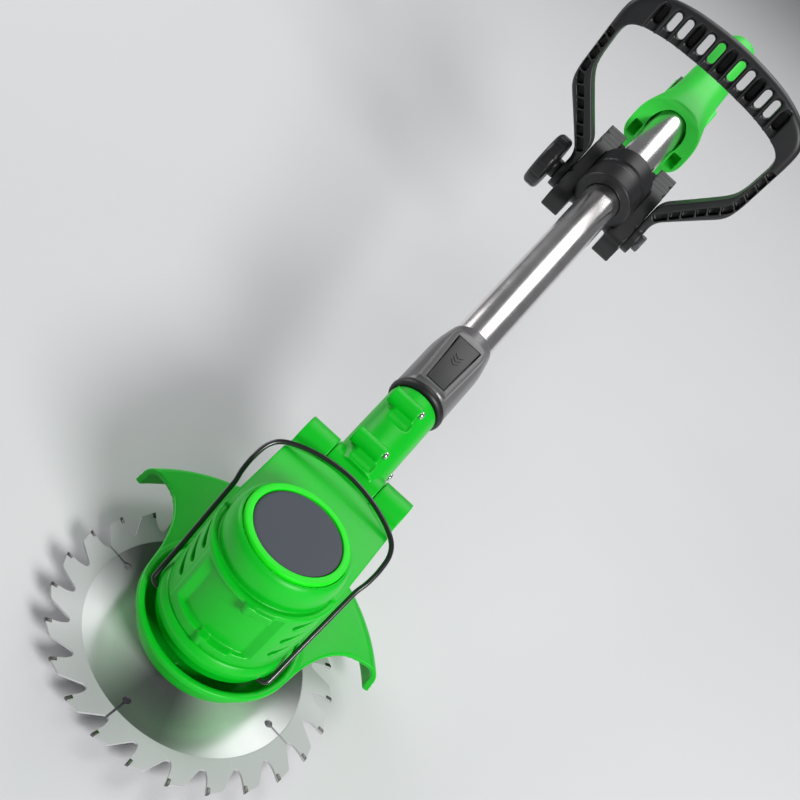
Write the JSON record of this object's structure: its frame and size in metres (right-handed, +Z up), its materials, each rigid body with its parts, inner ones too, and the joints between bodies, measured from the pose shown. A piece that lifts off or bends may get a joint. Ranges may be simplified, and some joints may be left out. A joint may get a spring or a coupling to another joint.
{
  "type": "cordless lawn edger",
  "caption": "Cordless lawn edger: toothed steel disc under a tilting motor head, telescopic pole, clamp-on loop handle and a rear grip holding the battery.",
  "frame": {"origin": "centre of the spindle's free end face, under the blade", "axes": "+Z up along the motor axis, +Y rearwards from the blade to the rear grip, +X to the right of someone holding the tool"},
  "size_m": [0.1601, 0.7113, 0.2881],
  "materials": {
    "green_plastic": "satin moulded ABS, vivid green",
    "bright_green_plastic": "smooth moulded ABS, brighter green",
    "slate_plastic": "matte slate grey",
    "gunmetal_plastic": "glossy gunmetal grey",
    "black_plastic": "matte glass-filled nylon",
    "chrome_tube": "polished chrome",
    "steel_tube": "drawn steel",
    "dark_steel": "blackened steel",
    "blade_steel": "brushed disc with a matte toothed rim",
    "bright_screws": "zinc plated",
    "black_wire": "black lacquered wire",
    "copper_winding": "enamelled copper",
    "magnet_ferrite": "sintered ferrite",
    "cell_wrap": "shrink-wrapped steel can"
  },
  "bodies": {
    "pole": {"outer_tube": "chrome_tube", "collar_ring": "black_plastic", "collar_body": "gunmetal_plastic", "handle_left": "green_plastic", "handle_right": "green_plastic", "handle_screw_1": "bright_screws", "handle_screw_2": "bright_screws", "handle_screw_3": "bright_screws", "terminal_block": "black_plastic", "power_switch": "black_plastic", "trigger_pin": "steel_tube"},
    "lower_pole": {"inner_tube": "steel_tube", "neck_left": "green_plastic", "neck_right": "green_plastic", "neck_screw_1": "bright_screws", "neck_screw_2": "bright_screws", "neck_screw_3": "bright_screws", "hinge_pin": "bright_screws"},
    "head": {"motor_housing": "green_plastic", "cap_ring": "bright_green_plastic", "cap_disc": "slate_plastic", "motor_base": "green_plastic", "blade_guard": "green_plastic", "guard_screw_1": "bright_screws", "guard_screw_2": "bright_screws", "guard_screw_3": "bright_screws", "motor_can": "steel_tube", "motor_end_bell": "black_plastic", "stator_magnet_left": "magnet_ferrite", "stator_magnet_right": "magnet_ferrite", "lower_bearing": "bright_screws", "upper_bearing": "bright_screws"},
    "blade": {"spindle": "dark_steel", "saw_blade": "blade_steel", "inner_flange": "dark_steel", "outer_flange": "dark_steel", "arbor_nut": "bright_screws", "rotor_core": "dark_steel", "rotor_winding": "copper_winding", "commutator": "copper_winding"},
    "wire_guard": {"wire_guard": "black_wire"},
    "collar_button": {"collar_button": "black_plastic"},
    "trigger": {"trigger": "black_plastic"},
    "lock_off_button": {"lock_off_button": "black_plastic"},
    "battery": {"battery_tray": "black_plastic", "battery_lid": "black_plastic", "battery_cell_1": "cell_wrap", "battery_cell_2": "cell_wrap", "battery_cell_3": "cell_wrap", "battery_cell_4": "cell_wrap"},
    "clamp": {"clamp_ring": "black_plastic", "clamp_block_left": "black_plastic", "clamp_block_right": "black_plastic"},
    "loop_handle": {"loop_handle": "black_plastic", "clamp_nut": "bright_screws"},
    "knob": {"clamp_knob": "black_plastic", "clamp_bolt": "dark_steel"}
  },
  "joints": [
    {"name": "telescope", "type": "slide", "parent": "pole", "child": "lower_pole", "axis": [0, -0.9573, -0.289], "range_m": [0, 0.25]},
    {"name": "head_tilt", "type": "hinge", "parent": "lower_pole", "child": "head", "pos_m": [0, 0.0814, 0.0814], "axis": [-1, 0, 0], "range_deg": [-15, 60]},
    {"name": "blade_spin", "type": "hinge", "parent": "head", "child": "blade", "pos_m": [0, 0, 0], "axis": [0, 0, -1], "continuous": true},
    {"name": "wire_guard_flip", "type": "hinge", "parent": "head", "child": "wire_guard", "pos_m": [0, -0.017, 0.04], "axis": [1, 0, 0], "range_deg": [0, 140]},
    {"name": "collar_press", "type": "slide", "parent": "pole", "child": "collar_button", "axis": [0, 0.289, -0.9573], "range_m": [0, 0.0016], "stiffness_N_per_m": 800},
    {"name": "trigger_pull", "type": "hinge", "parent": "pole", "child": "trigger", "pos_m": [0, 0.55435, 0.19972], "axis": [1, 0, 0], "range_deg": [0, 10], "stiffness_Nm_per_rad": 1.5},
    {"name": "lock_off_press", "type": "slide", "parent": "pole", "child": "lock_off_button", "axis": [1, 0, 0], "range_m": [0, 0.0022], "stiffness_N_per_m": 500},
    {"name": "battery_release", "type": "slide", "parent": "pole", "child": "battery", "axis": [0, 0.289, -0.9573], "range_m": [0, 0.05]},
    {"name": "clamp_slide", "type": "slide", "parent": "pole", "child": "clamp", "axis": [0, -0.9573, -0.289], "range_m": [-0.015, 0.14]},
    {"name": "loop_tilt", "type": "hinge", "parent": "clamp", "child": "loop_handle", "pos_m": [0, 0.38584, 0.1524], "axis": [-1, 0, 0], "range_deg": [-70, 25]},
    {"name": "knob_turn", "type": "hinge", "parent": "loop_handle", "child": "knob", "pos_m": [0, 0.38584, 0.1524], "axis": [-1, 0, 0], "continuous": true}
  ]
}
